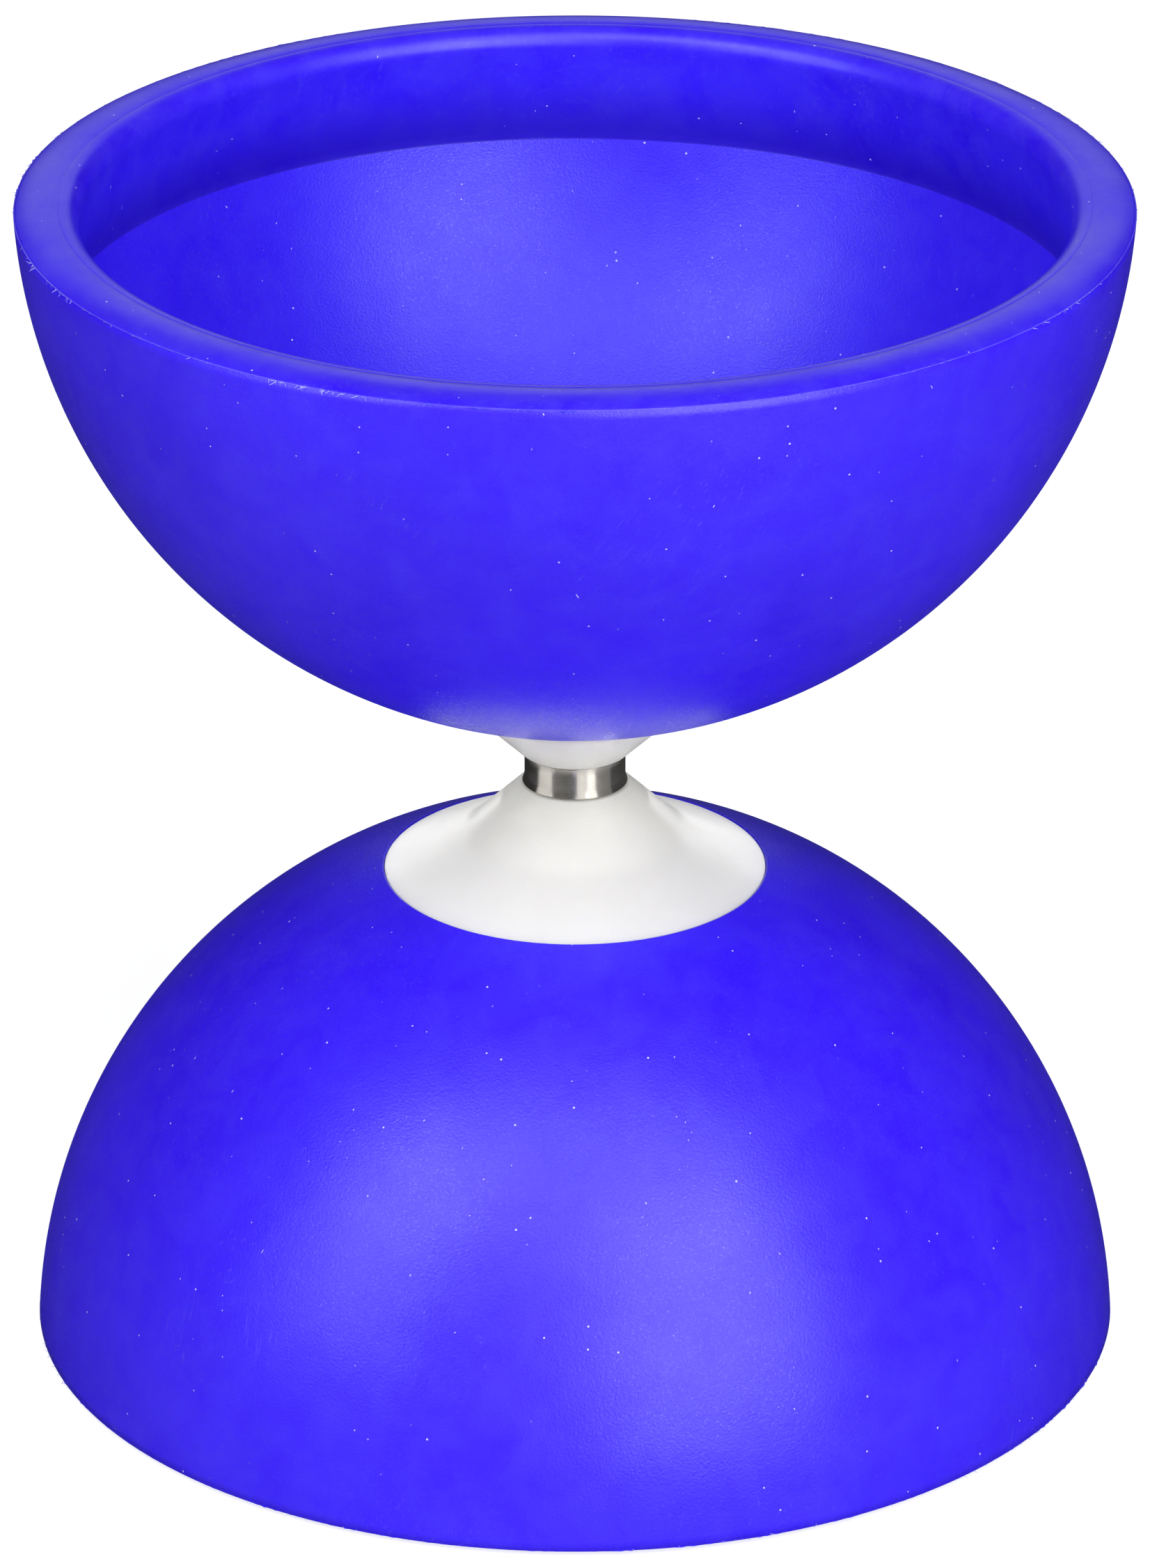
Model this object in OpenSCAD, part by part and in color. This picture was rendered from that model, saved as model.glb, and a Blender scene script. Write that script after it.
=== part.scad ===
// Cup diabolo: two flexible bowls set back to back on a fixed steel axle.
//
// Each half is a soft bowl whose flat web is clamped between a white hub cone on the
// outside and a clamp flange on the inside. A socket screw with a flat washer and a
// lock washer pulls the stack onto the end of the turned axle. The string runs round
// the axle's neck, in the groove between the two hub cones.
//
// Millimetres, +Z along the spin axis, origin at the middle of the axle's neck.
// The upper half is drawn, and the lower half is the same set of pieces turned over.

/* [Bowl] */
// Outside diameter of the rim
rim_d = 130; // [126:1:134]
// Height over both rims
height = 143.4; // [140:0.2:147]
// Thickness of the bowl's wall
wall = 2.5; // [2:0.1:3]
// Thickness of the clamped web at the bowl's foot
web_t = 2.6; // [2:0.1:3]
// Radius of the bowl's curve in section
bowl_arc_r = 66.2; // [65.6:0.1:67]
// Height of that curve's centre above the rim's outer edge
bowl_arc_rise = 3.8; // [3:0.1:5]

/* [Rim bead] */
// Thickness of the rim bead at the mouth
bead_w = 7.5; // [6.5:0.1:8]
// Depth of the bead from its crown to the crease inside the bowl
bead_depth = 14.7; // [12:0.1:16]
// Drop from the crown to the rim's sharp outer edge
crown_drop = 0.8; // [0.5:0.1:1.2]
// Width of the flat land that the toy stands on
land_w = 1.5; // [1:0.1:2]
// Rounding of the bead's inner lip
lip_round = 2.2; // [1.8:0.1:2.4]

/* [Hub cone] */
// Width of the string groove between the two hub noses
groove_w = 4.2; // [4.1:0.1:5]
// Radius of the hub at its nose
nose_r = 6.5; // [6.5:0.1:7]
// Slope of the cone beside the string
nose_angle = 43.8; // [42:0.2:45]
// Radius of the knee where the cone turns shallower
knee_r = 13.2; // [12.8:0.1:13.6]
// Radius of the blend at the knee
knee_round = 12; // [6:1:14]
// Radius of the hub's outer edge, flush with the bowl
hub_r = 22.7; // [22.3:0.1:23.5]
// Thickness of the hub at its outer edge
hub_edge_t = 1.3; // [1:0.1:1.6]
// Height that the bowl's edge stands proud of the hub
bowl_proud = 0.2; // [0.1:0.05:0.3]
// Radius of the boss that centres the bowl
boss_r = 9; // [8:0.1:10]
// Number of moulded pegs that keep the bowl from slipping round
peg_count = 3; // [3:1:6]
// Radius of the circle of pegs
peg_circle_r = 15.5; // [14.5:0.5:16]
// Radius of a peg
peg_r = 1.5; // [1.2:0.1:1.8]

/* [Clamp flange] */
// Outer radius of the clamp flange
flange_r = 21; // [19:0.5:21.5]
// Thickness of the flange under the washer
flange_t = 3.5; // [3.2:0.1:4]
// Thickness of the flange at its edge
flange_edge_t = 1.8; // [1.5:0.1:2.2]
// Radius of the raised seat under the washer
seat_r = 10.8; // [10:0.1:11.5]

/* [Axle] */
// Radius of the neck that the string runs on
neck_r = 6; // [5.8:0.1:6]
// Radius of the flared shoulders at the ends of the neck
flare_r = 6.25; // [6.25:0.05:6.35]
// Length of the straight part of the neck
neck_straight = 1.6; // [1:0.1:1.8]
// Chamfer on the shoulders' edges
shoulder_chamfer = 0.22; // [0.15:0.01:0.25]
// Length of the axle over both ends
axle_len = 32; // [31:0.5:32.5]
// Width across flats of the drive hexagon inside the hub
drive_af = 9; // [8.8:0.1:9.1]
// Length of the drive hexagon, from the shoulder
drive_len = 6; // [5:0.5:7]

/* [Fasteners] */
// Nominal thread diameter of the clamp screws
thread_d = 6; // [6]
// Length of the screw under its head
screw_len = 20; // [18:0.5:20]
// Diameter of the screw's head
head_d = 10; // [9.5:0.1:10.5]
// Height of the screw's head
head_h = 6; // [5.5:0.1:6.5]
// Width across flats of the key socket
socket_af = 5; // [5]
// Depth of the key socket
socket_depth = 3; // [2.5:0.1:3.5]
// Outer diameter of the flat washer
washer_d = 18; // [16:0.5:18]
// Thickness of the flat washer
washer_t = 1.6; // [1.4:0.1:1.8]
// Outer diameter of the lock washer
lock_d = 11.8; // [11:0.1:12]
// Thickness of the lock washer
lock_t = 1.6; // [1.4:0.1:1.8]
// Width of the lock washer's split
lock_gap = 0.8; // [0.5:0.1:1]

/* [Hidden] */
$fn = 96;

// Fits between pieces of one half, and between the screw and its thread
press_gap = 0.05;
slip_gap = 0.1;
thread_gap = 0.05;
washer_gap = 0.2;
eps = 0.01;

// Points along an arc, with both ends
function arc(centre, radius, from, to, steps) = [
    for (i = [0:steps]) let (a = from + (to - from) * i / steps) centre + radius * [cos(a), sin(a)]
];

// Bowl: its outer curve passes through the rim's sharp edge
rim_r = rim_d / 2;
crown_z = height / 2;
edge_z = crown_z - crown_drop;
arc_z = edge_z + bowl_arc_rise;
arc_x = rim_r - sqrt(pow(bowl_arc_r, 2) - pow(bowl_arc_rise, 2));
bowl_centre = [arc_x, arc_z];
inner_arc_r = bowl_arc_r - wall;
function bowl_z(r) = arc_z - sqrt(pow(bowl_arc_r, 2) - pow(r - arc_x, 2));

// Bead: flat land between the lip's rounding and the arc down to the sharp edge
lip_x = rim_r - bead_w;
land_x0 = lip_x + lip_round;
land_x1 = land_x0 + land_w;
crown_run = rim_r - land_x1;
crown_round = (pow(crown_run, 2) + pow(crown_drop, 2)) / (2 * crown_drop);
crown_centre = [land_x1, crown_z - crown_round];
crown_from = atan2(edge_z - crown_centre[1], crown_run);

// Crease where the bead's inner wall meets the bowl, and the lip's tangent towards it
crease_z = crown_z - bead_depth;
crease_a = asin((crease_z - arc_z) / inner_arc_r);
crease = bowl_centre + inner_arc_r * [cos(crease_a), sin(crease_a)];
lip_centre = [land_x0, crown_z - lip_round];
to_crease = crease - lip_centre;
lip_to = 360 + atan2(to_crease[1], to_crease[0]) - acos(lip_round / norm(to_crease));

// Heights of the clamped stack, from the string outwards
nose_z = groove_w / 2;
hub_edge_z = bowl_z(hub_r) + bowl_proud;
web_z = hub_edge_z + hub_edge_t;
flange_z = web_z + web_t;
washer_z = flange_z + flange_t;
lock_z = washer_z + washer_t;
head_z = lock_z + lock_t;
boss_top = flange_z + 0.6;
boss_pocket = boss_top + 0.5;
peg_top = flange_z + 1.4;

// Foot of the bowl: where its outer curve meets the hub, and its inner curve meets the web
cup_bore_r = boss_r + press_gap;
foot_r = hub_r + press_gap;
foot_a = -acos((foot_r - arc_x) / bowl_arc_r);
rim_a = -asin(bowl_arc_rise / bowl_arc_r);
web_a = asin((flange_z - arc_z) / inner_arc_r);

// Knee of the hub's face and the blend that fills it
knee_z = nose_z + (knee_r - nose_r) * tan(nose_angle);
brim_angle = atan2(hub_edge_z - knee_z, hub_r - knee_r);
knee_tangent = knee_round * tan((nose_angle - brim_angle) / 2);
knee = [knee_r, knee_z];
knee_inner = knee - knee_tangent * [cos(nose_angle), sin(nose_angle)];
knee_centre = knee_inner + knee_round * [sin(nose_angle), -cos(nose_angle)];
nose_round = 0.2;

// Axle
shank_r = drive_af / 2 - 0.1;
screw_r = thread_d / 2;
tap_depth = axle_len / 2 - (head_z - screw_len) + 1;
flare_run = nose_z - shoulder_chamfer - neck_straight / 2;
flare_round = (pow(flare_run, 2) + pow(flare_r - neck_r, 2)) / (2 * (flare_r - neck_r));

// Colours
cup_blue = [0.20, 0.12, 0.88];
hub_white = [0.91, 0.91, 0.89];
steel = [0.66, 0.66, 0.67];
zinc = [0.74, 0.75, 0.76];

// Turns an upper piece over to make the same piece of the lower half
module turned_over() {
    rotate([180, 0, 0]) children();
}

// Places its children at the pegs of the hub
module at_pegs() {
    for (i = [0:peg_count - 1])
        rotate([0, 0, i * 360 / peg_count]) translate([peg_circle_r, 0, 0]) children();
}

// Hexagonal bar with the given width across flats
module hex_bar(across_flats, length) {
    cylinder(d = across_flats / cos(30), h = length, $fn = 6);
}

// ---- bowl ----

// Section of the bowl: foot, outer curve, crown, lip, undercut wall, inner curve, web
module cup_section() {
    polygon(concat(
        [[cup_bore_r, web_z], [foot_r, web_z]],
        arc(bowl_centre, bowl_arc_r, foot_a, rim_a, 36),
        arc(crown_centre, crown_round, crown_from, 90, 6),
        arc(lip_centre, lip_round, 90, lip_to, 8),
        arc(bowl_centre, inner_arc_r, crease_a, web_a, 28),
        [[cup_bore_r, flange_z]]
    ));
}

module cup() {
    color(cup_blue)
    difference() {
        rotate_extrude() cup_section();
        at_pegs() translate([0, 0, web_z - 1]) cylinder(r = peg_r + slip_gap, h = web_t + 2);
    }
}

// ---- hub cone ----

module hub_section() {
    polygon(concat(
        [[0, nose_z], [nose_r - nose_round, nose_z], [nose_r, nose_z + nose_round]],
        arc(knee_centre, knee_round, 90 + nose_angle, 90 + brim_angle, 8),
        [[hub_r, hub_edge_z], [hub_r, web_z], [boss_r, web_z], [boss_r, boss_top], [0, boss_top]]
    ));
}

module hub_cone() {
    color(hub_white)
    difference() {
        union() {
            rotate_extrude() hub_section();
            at_pegs() translate([0, 0, web_z - 1]) cylinder(r = peg_r, h = peg_top - web_z + 1);
        }
        translate([0, 0, nose_z - 1]) hex_bar(drive_af + 2 * press_gap, drive_len + 1);
        translate([0, 0, nose_z]) cylinder(r = shank_r + press_gap, h = boss_top);
    }
}

// ---- clamp flange ----

module flange_section() {
    clear_r = screw_r + 2 * washer_gap;
    pocket_r = boss_r + slip_gap;
    edge_round = 1;
    edge_centre = [flange_r - edge_round, flange_z + flange_edge_t - edge_round];
    polygon(concat(
        [[clear_r, boss_pocket], [pocket_r, boss_pocket], [pocket_r, flange_z], [flange_r, flange_z]],
        arc(edge_centre, edge_round, 0, 90, 6),
        [[seat_r + 1, washer_z - 0.5], [seat_r, washer_z], [clear_r, washer_z]]
    ));
}

module clamp_flange() {
    color(hub_white)
    difference() {
        rotate_extrude() flange_section();
        at_pegs() translate([0, 0, flange_z - 1])
            cylinder(r = peg_r + slip_gap, h = peg_top - flange_z + 1 + slip_gap);
    }
}

// ---- axle ----

// Section of the neck with its two flared, chamfered shoulders
module neck_section() {
    shoulder_r = flare_r - shoulder_chamfer;
    difference() {
        polygon([
            [0, -nose_z], [shoulder_r, -nose_z], [flare_r, -nose_z + shoulder_chamfer],
            [flare_r, nose_z - shoulder_chamfer], [shoulder_r, nose_z], [0, nose_z]
        ]);
        translate([neck_r, -neck_straight / 2]) square([1, neck_straight]);
        for (side = [-1, 1])
            translate([neck_r + flare_round, side * neck_straight / 2]) circle(r = flare_round);
    }
}

// One end of the axle: drive hexagon, then the round shank
module axle_end() {
    bevel = 0.5;
    translate([0, 0, nose_z - 1]) hex_bar(drive_af, drive_len + 1);
    translate([0, 0, nose_z]) cylinder(r = shank_r, h = axle_len / 2 - bevel - nose_z);
    translate([0, 0, axle_len / 2 - bevel]) cylinder(r1 = shank_r, r2 = shank_r - bevel, h = bevel);
}

// Tapped hole in one end, with the cone that the drill leaves
module tapped_hole() {
    bore_r = screw_r + thread_gap;
    translate([0, 0, axle_len / 2 - tap_depth]) cylinder(r = bore_r, h = tap_depth + 1);
    translate([0, 0, axle_len / 2 - tap_depth - 1]) cylinder(r1 = bore_r / 3, r2 = bore_r, h = 1);
}

module axle() {
    color(steel)
    difference() {
        union() {
            rotate_extrude() neck_section();
            axle_end();
            turned_over() axle_end();
        }
        tapped_hole();
        turned_over() tapped_hole();
    }
}

// ---- fasteners ----

module flat_washer() {
    hole_r = screw_r + 2 * washer_gap;
    bevel = 0.3;
    color(zinc)
    rotate_extrude() polygon([
        [hole_r, washer_z], [washer_d / 2, washer_z], [washer_d / 2, lock_z - bevel],
        [washer_d / 2 - bevel, lock_z], [hole_r, lock_z]
    ]);
}

module lock_washer() {
    color(zinc)
    difference() {
        translate([0, 0, lock_z]) cylinder(d = lock_d, h = lock_t);
        translate([0, 0, lock_z - 1]) cylinder(r = screw_r + washer_gap, h = lock_t + 2);
        translate([0, 0, lock_z + lock_t / 2]) rotate([25, 0, 0])
            translate([0, -lock_gap / 2, -2 * lock_t]) cube([lock_d, lock_gap, 4 * lock_t]);
    }
}

module screw_section() {
    tip = 0.8;
    polygon([
        [0, head_z - screw_len], [screw_r - tip, head_z - screw_len],
        [screw_r, head_z - screw_len + tip], [screw_r, head_z], [head_d / 2, head_z],
        [head_d / 2, head_z + head_h - 0.6], [head_d / 2 - 0.6, head_z + head_h], [0, head_z + head_h]
    ]);
}

module screw() {
    socket_z = head_z + head_h - socket_depth;
    color(steel)
    difference() {
        rotate_extrude() screw_section();
        translate([0, 0, socket_z]) hex_bar(socket_af, socket_depth + 1);
        translate([0, 0, socket_z - 0.8]) cylinder(r1 = 0.5, r2 = socket_af / 2, h = 0.8 + eps);
    }
}

axle();

cup();  // upper_cup
hub_cone();  // upper_hub_cone
clamp_flange();  // upper_clamp_flange
flat_washer();  // upper_flat_washer
lock_washer();  // upper_lock_washer
screw();  // upper_screw

turned_over() cup();  // lower_cup
turned_over() hub_cone();  // lower_hub_cone
turned_over() clamp_flange();  // lower_clamp_flange
turned_over() flat_washer();  // lower_flat_washer
turned_over() lock_washer();  // lower_lock_washer
turned_over() screw();  // lower_screw
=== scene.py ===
"""Looks of a cup diabolo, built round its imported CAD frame.

Nearly every piece is an outline spun about the axis: soft moulded bowls with a ragged flash
line, white hub cones, a turned steel axle, and the clamp hardware inside each bowl. The lower
half is the upper half's set of pieces turned over.
"""

import logging
import math
from collections.abc import Callable, Mapping, Sequence
from dataclasses import dataclass, field
from enum import Enum
from functools import cache
from typing import ClassVar

import bmesh
import bpy
import numpy as np
from mathutils import Matrix, Vector


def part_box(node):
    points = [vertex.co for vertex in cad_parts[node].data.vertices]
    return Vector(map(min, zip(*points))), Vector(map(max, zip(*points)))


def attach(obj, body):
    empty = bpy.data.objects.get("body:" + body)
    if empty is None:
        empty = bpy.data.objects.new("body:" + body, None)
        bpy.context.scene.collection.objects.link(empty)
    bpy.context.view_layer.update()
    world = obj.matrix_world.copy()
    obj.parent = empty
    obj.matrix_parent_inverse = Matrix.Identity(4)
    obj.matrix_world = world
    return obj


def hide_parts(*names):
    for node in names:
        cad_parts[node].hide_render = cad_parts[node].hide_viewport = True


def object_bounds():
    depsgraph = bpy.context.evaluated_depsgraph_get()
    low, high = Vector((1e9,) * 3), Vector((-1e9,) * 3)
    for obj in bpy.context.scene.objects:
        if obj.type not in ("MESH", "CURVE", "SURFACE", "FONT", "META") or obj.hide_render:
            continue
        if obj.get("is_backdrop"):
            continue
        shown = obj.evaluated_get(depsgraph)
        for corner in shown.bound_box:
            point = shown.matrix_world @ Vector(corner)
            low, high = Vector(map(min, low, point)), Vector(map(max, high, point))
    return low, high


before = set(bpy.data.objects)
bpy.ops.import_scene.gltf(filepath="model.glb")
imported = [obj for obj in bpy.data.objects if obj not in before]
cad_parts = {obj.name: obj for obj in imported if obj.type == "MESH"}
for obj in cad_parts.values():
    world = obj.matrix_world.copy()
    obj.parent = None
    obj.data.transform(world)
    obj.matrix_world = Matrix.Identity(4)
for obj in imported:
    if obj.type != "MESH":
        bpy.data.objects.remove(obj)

LOG = logging.getLogger("diabolo")
MM = 0.001
TAU = 2 * math.pi
PEG_SEGMENTS = 28
HUBS = ("upper_hub", "lower_hub")

Point = tuple[float, float]
Spot = tuple[float, float, float]
Colour = tuple[float, float, float]
Solid = bpy.types.Object
Material = bpy.types.Material
Socket = bpy.types.NodeSocket
Sockets = Mapping[str, Socket]
Relief = Callable[[np.ndarray, np.ndarray, np.ndarray], tuple[np.ndarray, np.ndarray]]


# ---------------------------------------------------------------------------
# Spinning outlines into solids
# ---------------------------------------------------------------------------


class Half(Enum):
    """The two ends of the toy."""

    UPPER = "upper"
    LOWER = "lower"

    def turn(self) -> Matrix:
        """Returns the half turn about X that makes an upper piece a piece of this half."""
        return Matrix.Rotation(math.pi if self is Half.LOWER else 0.0, 4, "X")


class Section(Enum):
    """Shape of a ring seen along the spin axis."""

    ROUND = "round"
    HEXAGON = "hexagon"
    KNURLED = "knurled"

    def factors(self, angles: np.ndarray) -> np.ndarray:
        """Gives the radius at each angle as a multiple of the ring's own radius.

        Args:
            angles: angles round the spin axis, in radians.

        Returns:
            One factor for each angle.
        """
        if self is Section.HEXAGON:
            return 1 / np.cos(np.mod(angles, TAU / 6) - TAU / 12)
        if self is Section.KNURLED:
            return np.where(np.arange(len(angles)) % 2 == 0, 1.0, 0.965)
        return np.ones(len(angles))


@dataclass(frozen=True)
class Ring:
    """One circle of vertices of a spun piece."""

    radius: float
    height: float
    section: Section = Section.ROUND
    zone: int = 0


@dataclass
class Outline:
    """A path in the radius and height half-plane, spun about Z into a solid."""

    rings: list[Ring] = field(default_factory=list)
    zone: int = 0
    section: Section = Section.ROUND

    def go(self, *points: Point) -> "Outline":
        """Adds points.

        Args:
            points: (radius, height) of each point.

        Returns:
            This outline.
        """
        for radius, height in points:
            self.rings.append(Ring(radius, height, self.section, self.zone))
        return self

    def run(self, end: Point, steps: int) -> "Outline":
        """Adds a straight run from the last point.

        Args:
            end: (radius, height) of its end.
            steps: number of equal steps.

        Returns:
            This outline.
        """
        start = self.rings[-1]
        for i in range(1, steps + 1):
            share = i / steps
            self.go((start.radius + (end[0] - start.radius) * share,
                     start.height + (end[1] - start.height) * share))
        return self

    def arc(self, centre: Point, radius: float, start: float, end: float, steps: int) -> "Outline":
        """Adds an arc with both of its ends.

        Args:
            centre: centre of the arc in the half-plane.
            radius: its radius.
            start: angle of its first point, in radians.
            end: angle of its last point, in radians.
            steps: number of equal steps.

        Returns:
            This outline.
        """
        for i in range(steps + 1):
            angle = start + (end - start) * i / steps
            self.go((centre[0] + radius * math.cos(angle), centre[1] + radius * math.sin(angle)))
        return self

    def corners(self, *points: Spot, steps: int = 3) -> "Outline":
        """Adds a run of points whose inner corners are rounded.

        Args:
            points: (radius, height, rounding) of each corner; the two ends stay sharp.
            steps: number of steps round each rounded corner.

        Returns:
            This outline.
        """
        places = [Vector((p[0], p[1])) for p in points]
        for i, (place, spec) in enumerate(zip(places, points)):
            rounding = spec[2]
            if rounding <= 0 or i in (0, len(points) - 1):
                self.go((place.x, place.y))
                continue
            back = (places[i - 1] - place).normalized()
            on = (places[i + 1] - place).normalized()
            half_angle = back.angle(on) / 2
            setback = rounding / math.tan(half_angle)
            weight = math.sin(half_angle)
            first, last = place + back * setback, place + on * setback
            for k in range(steps + 1):
                t = k / steps
                a, b, c = (1 - t) ** 2, 2 * weight * t * (1 - t), t * t
                spot = (first * a + place * b + last * c) / (a + b + c)
                self.go((spot.x, spot.y))
        return self


def spin(name: str, outline: Outline, segments: int, relief: Relief | None = None,
         closed: bool = True, sharp: float = 38.0) -> Solid:
    """Spins an outline about Z into a mesh.

    Args:
        name: name of the new piece.
        outline: the path to spin; a ring of no radius becomes a single vertex.
        segments: number of vertices round each ring.
        relief: optional function of radii, heights and angles that returns what to add to
            the radii and the heights.
        closed: whether the last ring joins the first one.
        sharp: edges that turn by more than this many degrees are shaded sharp.

    Returns:
        The new object, with its place in its mesh.
    """
    rings = outline.rings
    angles = np.arange(segments) * TAU / segments
    radii = np.array([ring.radius * ring.section.factors(angles) for ring in rings])
    heights = np.repeat([[ring.height] for ring in rings], segments, axis=1)
    if relief is not None:
        more_radius, more_height = relief(radii, heights, angles[None, :])
        radii, heights = radii + more_radius, heights + more_height
    vertices: list[Spot] = []
    rows: list[list[int]] = []
    for ring, radius, height in zip(rings, radii, heights):
        if ring.radius == 0.0:
            rows.append([len(vertices)] * segments)
            vertices.append((0.0, 0.0, float(height[0])))
            continue
        rows.append(list(range(len(vertices), len(vertices) + segments)))
        vertices.extend(zip(radius * np.cos(angles), radius * np.sin(angles), height))
    faces: list[list[int]] = []
    zones: list[int] = []
    for i in range(len(rings) if closed else len(rings) - 1):
        here, there = rows[i], rows[(i + 1) % len(rings)]
        for j in range(segments):
            k = (j + 1) % segments
            face = list(dict.fromkeys((here[j], here[k], there[k], there[j])))
            if len(face) > 2:
                faces.append(face)
                zones.append(rings[i].zone)
    return make_mesh(name, vertices, faces, zones, sharp)


def make_mesh(name: str, vertices: Sequence[Spot], faces: Sequence[Sequence[int]],
              zones: Sequence[int], sharp: float) -> Solid:
    """Makes a smooth-shaded object with outward normals.

    Args:
        name: name of the new piece.
        vertices: places of the vertices, in metres.
        faces: vertex numbers of each face.
        zones: material index of each face.
        sharp: edges that turn by more than this many degrees are shaded sharp.

    Returns:
        The new object.
    """
    mesh = bpy.data.meshes.new(name)
    mesh.from_pydata(list(vertices), [], list(faces))
    mesh.polygons.foreach_set("material_index", list(zones))
    mesh.polygons.foreach_set("use_smooth", [True] * len(mesh.polygons))
    shell = bmesh.new()
    shell.from_mesh(mesh)
    bmesh.ops.recalc_face_normals(shell, faces=shell.faces)
    shell.to_mesh(mesh)
    shell.free()
    mesh.set_sharp_from_angle(angle=math.radians(sharp))
    piece = bpy.data.objects.new(name, mesh)
    bpy.context.scene.collection.objects.link(piece)
    return piece


def ragged(angles: np.ndarray, seed: int, waves: Sequence[tuple[int, float]]) -> np.ndarray:
    """Makes an uneven closed line of values round the spin axis.

    Args:
        angles: angles in radians.
        seed: seed of the random phases.
        waves: (largest number of waves in a turn, strength) of each band of waves.

    Returns:
        One value for each angle, with a mean near zero.
    """
    chance = np.random.default_rng(seed)
    total = np.zeros_like(angles)
    waves_in_band = 7
    for count, strength in waves:
        for _ in range(waves_in_band):
            turns = chance.integers(max(1, count // 2), count + 1)
            wave = np.sin(turns * angles + chance.uniform(0, TAU))
            total = total + strength / waves_in_band * wave
    return total


def drill(piece: Solid, centres: Sequence[Vector], radius: float, low: float,
          high: float) -> None:
    """Cuts round holes along Z through a piece.

    Args:
        piece: the piece to cut, in place.
        centres: a point on each hole's axis.
        radius: radius of the holes.
        low: lowest height of the cut.
        high: highest height of the cut.
    """
    tools = bmesh.new()
    for centre in centres:
        place = Matrix.Translation((centre.x, centre.y, (low + high) / 2))
        bmesh.ops.create_cone(tools, cap_ends=True, segments=PEG_SEGMENTS, radius1=radius,
                              radius2=radius, depth=high - low, matrix=place)
    mesh = bpy.data.meshes.new("drill")
    tools.to_mesh(mesh)
    tools.free()
    cutter = bpy.data.objects.new("drill", mesh)
    bpy.context.scene.collection.objects.link(cutter)
    cut = piece.modifiers.new("holes", "BOOLEAN")
    cut.operation, cut.solver, cut.object = "DIFFERENCE", "EXACT", cutter
    depsgraph = bpy.context.evaluated_depsgraph_get()
    cut_mesh = bpy.data.meshes.new_from_object(piece.evaluated_get(depsgraph))
    piece.modifiers.clear()
    piece.data = cut_mesh
    bpy.data.objects.remove(cutter)


def reach(node: str) -> float:
    """Returns the largest distance from the spin axis that a CAD node reaches."""
    spots = np.array([v.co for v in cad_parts[node].data.vertices])
    return float(np.hypot(spots[:, 0], spots[:, 1]).max())


# ---------------------------------------------------------------------------
# Shader graphs and the effects that finishes share
# ---------------------------------------------------------------------------

Feed = Socket | float | Sequence[float]


@dataclass
class Graph:
    """Places and wires the nodes of one shader tree."""

    tree: bpy.types.NodeTree

    def place(self, kind: str, inputs: Mapping[str | int, Feed] | None = None,
              **settings: object) -> bpy.types.Node:
        """Adds a node.

        Args:
            kind: the node's type name, without the leading ShaderNode.
            inputs: what feeds each input, by name or number: a socket or a fixed value.
            settings: properties to set on the node.

        Returns:
            The new node.
        """
        node = self.tree.nodes.new("ShaderNode" + kind)
        for key, value in settings.items():
            setattr(node, key, value)
        for key, value in (inputs or {}).items():
            self.feed(node.inputs[key], value)
        return node

    def feed(self, socket: Socket, value: Feed) -> None:
        """Links or sets one input.

        Args:
            socket: the input.
            value: the socket to link, or the fixed value.
        """
        if isinstance(value, Socket):
            self.tree.links.new(value, socket)
        elif socket.type == "RGBA":
            socket.default_value = (*value, 1.0)
        else:
            socket.default_value = value

    def maths(self, operation: str, *values: Feed, clamp: bool = False) -> Socket:
        """Returns the result of a Math node."""
        node = self.place("Math", dict(enumerate(values)), operation=operation, use_clamp=clamp)
        return node.outputs[0]

    def vectors(self, operation: str, *values: Feed) -> Socket:
        """Returns the result of a Vector Math node: its value for a length, else its vector."""
        node = self.place("VectorMath", dict(enumerate(values)), operation=operation)
        return node.outputs["Value" if operation == "LENGTH" else "Vector"]

    def remap(self, value: Feed, low: float, high: float, to_low: Feed = 0.0,
              to_high: Feed = 1.0) -> Socket:
        """Returns the value carried smoothly from one range to another and held at its ends."""
        feeds = {"Value": value, "From Min": low, "From Max": high, "To Min": to_low, "To Max": to_high}
        return self.place("MapRange", feeds, interpolation_type="SMOOTHSTEP").outputs[0]

    def mix(self, share: Feed, first: Feed, second: Feed) -> Socket:
        """Returns a mix of two colours."""
        return self.place("Mix", {0: share, 6: first, 7: second}, data_type="RGBA").outputs[2]

    def noise(self, vector: Feed, scale: Feed, detail: float = 2.0, roughness: float = 0.5,
              distortion: float = 0.0) -> Socket:
        """Returns the value of a Noise Texture."""
        feeds = {"Vector": vector, "Scale": scale, "Detail": detail, "Roughness": roughness,
                 "Distortion": distortion}
        return self.place("TexNoise", feeds).outputs[0]

    def stretched(self, vector: Feed, turn: Spot, scale: Spot) -> Socket:
        """Returns a vector turned by angles in radians and then stretched."""
        turned = self.place("Mapping", {"Vector": vector, "Rotation": turn}, vector_type="POINT")
        return self.vectors("MULTIPLY", turned.outputs[0], scale)

    def polar(self, vector: Feed) -> tuple[Socket, Socket]:
        """Measures from the spin axis and from the string's plane.

        Args:
            vector: the coordinates to measure.

        Returns:
            The distance from the axis, and the distance from the plane.
        """
        parts = self.place("SeparateXYZ", {0: vector}).outputs
        flat = self.place("CombineXYZ", {0: parts[0], 1: parts[1]}).outputs[0]
        return self.vectors("LENGTH", flat), self.maths("ABSOLUTE", parts[2])


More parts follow.
